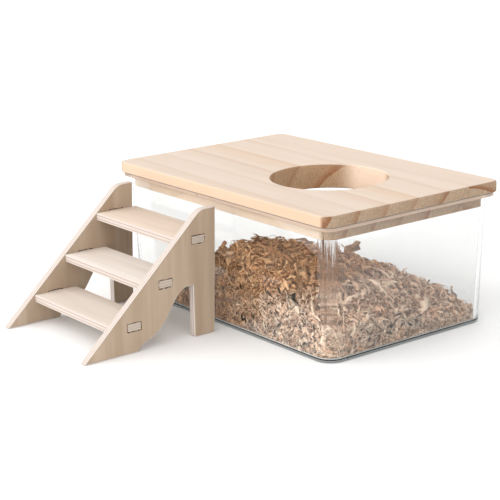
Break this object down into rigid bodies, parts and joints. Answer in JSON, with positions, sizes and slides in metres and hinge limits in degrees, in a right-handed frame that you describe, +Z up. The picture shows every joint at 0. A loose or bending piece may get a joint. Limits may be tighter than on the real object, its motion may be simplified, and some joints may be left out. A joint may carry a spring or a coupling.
{
  "type": "small hamster cage",
  "caption": "Clear tank with a rim flange, a rebated pine lid with a round entry hole, a slotted plywood ladder and a mound of wood shavings.",
  "frame": {"origin": "centre of the tank's underside, on the surface that the cage stands on", "axes": "+X along the tank's long side, +Y away from the ladder, +Z up out of the entry hole"},
  "size_m": [0.229, 0.2609, 0.0973],
  "materials": {
    "tank": "clear moulded plastic, polished inside and out",
    "lid": "edge-glued pine, sanded and unvarnished, with eased edges",
    "ladder": "laser-cut basswood plywood, unvarnished, with faintly scorched slots",
    "bedding": "loose curled wood shavings, dry and matt"
  },
  "bodies": {
    "tank": {"tank": "tank", "bedding": "bedding"},
    "lid": {"lid_stave_wide": "lid", "lid_stave_narrow": "lid"},
    "ladder": {"ladder_side_left": "ladder", "ladder_side_right": "ladder", "ladder_tread_lower": "ladder", "ladder_tread_middle": "ladder", "ladder_tread_upper": "ladder"}
  },
  "joints": [
    {"name": "lid_lift", "type": "slide", "parent": "tank", "child": "lid", "axis": [0, 0, 1], "range_m": [0, 0.12]},
    {"name": "ladder_slide", "type": "slide", "parent": "tank", "child": "ladder", "axis": [0, -1, 0], "range_m": [0, 0.15]}
  ]
}
